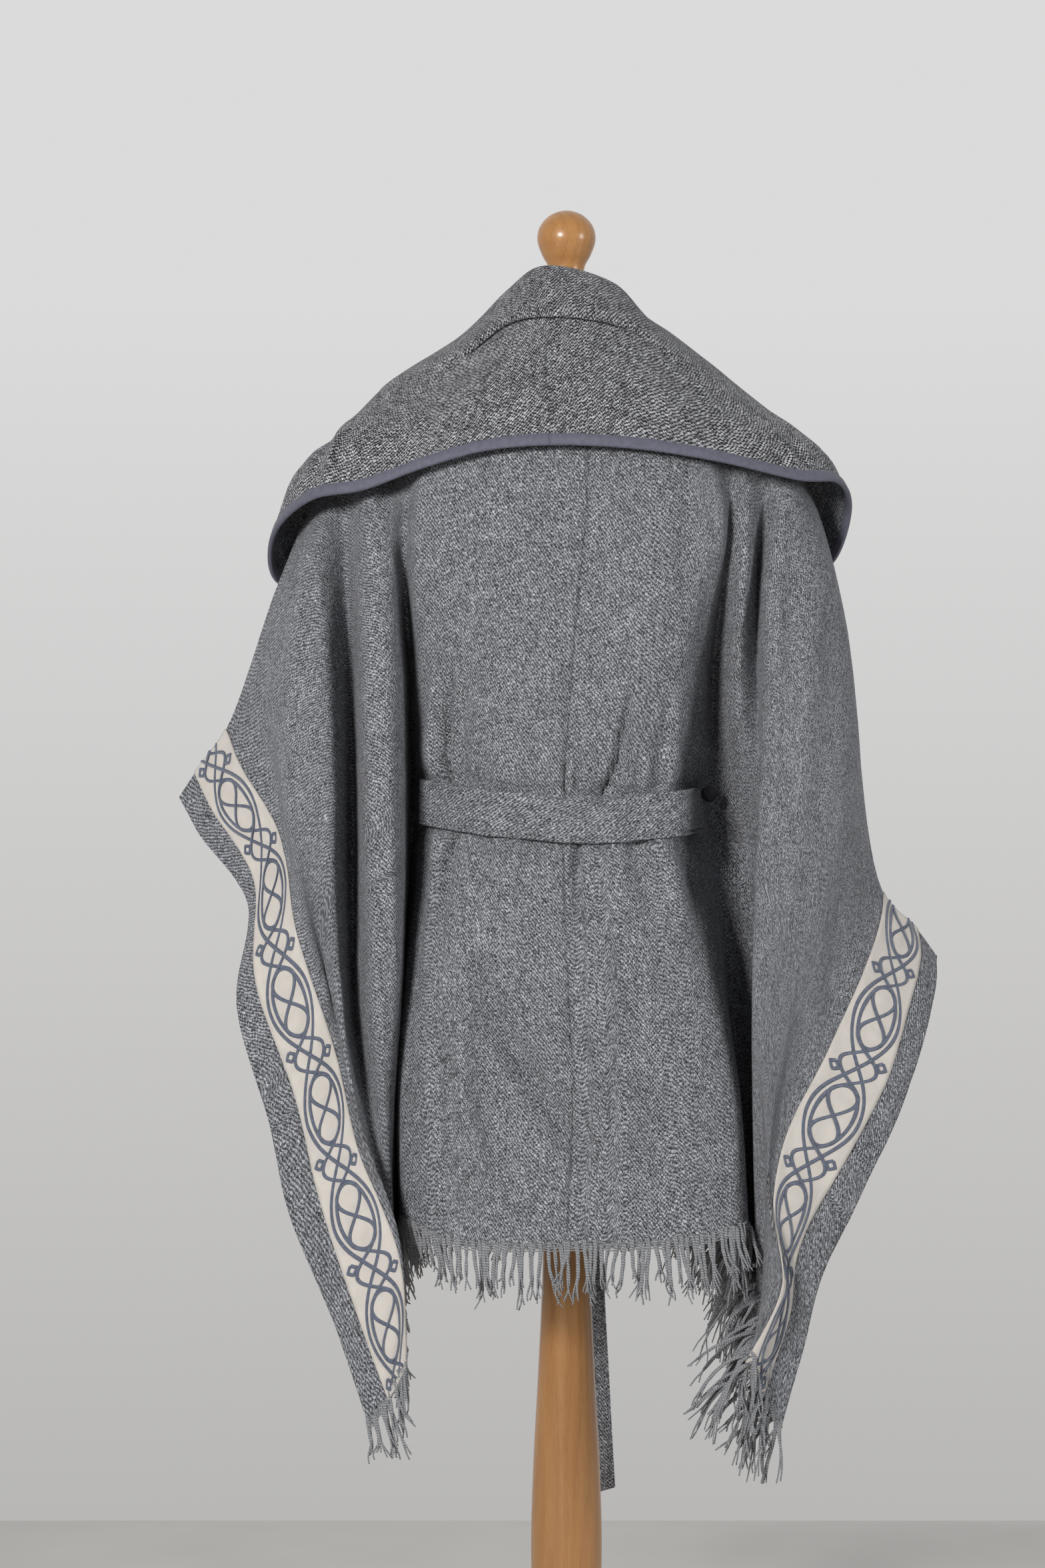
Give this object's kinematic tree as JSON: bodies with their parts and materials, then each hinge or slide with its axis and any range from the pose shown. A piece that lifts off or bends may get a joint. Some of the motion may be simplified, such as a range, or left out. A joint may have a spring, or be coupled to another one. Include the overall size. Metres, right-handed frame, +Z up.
{
  "type": "hooded cape on dress form",
  "caption": "Belted, fringed wool ruana cape with its hood folded down as a collar, standing on a limbless dress form on a turned wooden pole.",
  "frame": {"origin": "centre of the base's underside, where the dress form stands", "axes": "+Z up along the pole, +Y the way the wearer faces, +X the wearer's right"},
  "size_m": [0.7274, 0.38, 1.549],
  "materials": {
    "wool": "herringbone wool, matt, soft",
    "wool_belt": "same wool, doubled and stitched",
    "ribbon": "cream woven ribbon with slate-blue embroidery",
    "tape": "smooth cotton bias tape, slightly lustrous",
    "button_cloth": "cloth-covered button",
    "varnished_wood": "clear-varnished turned beech",
    "jersey": "stretched cotton jersey"
  },
  "bodies": {
    "root": {"cape_back_left": "wool", "cape_back_right": "wool", "cape_front_left": "wool", "cape_front_right": "wool", "hood_left": "wool", "hood_right": "wool", "hood_binding_left": "tape", "hood_binding_right": "tape", "band_back_left": "ribbon", "band_back_right": "ribbon", "band_front_left": "ribbon", "band_front_right": "ribbon", "belt_back": "wool_belt", "belt_front_left": "wool_belt", "belt_front_right": "wool_belt", "belt_knot": "wool_belt", "belt_tail_long": "wool_belt", "belt_tail_short": "wool_belt", "belt_button": "button_cloth", "fringe_back_left": "wool", "fringe_back_right": "wool", "fringe_front_left": "wool", "fringe_front_right": "wool", "form_torso": "jersey", "form_neck_cap": "varnished_wood", "form_knob": "varnished_wood", "form_pole": "varnished_wood", "form_base": "varnished_wood"}
  },
  "joints": []
}
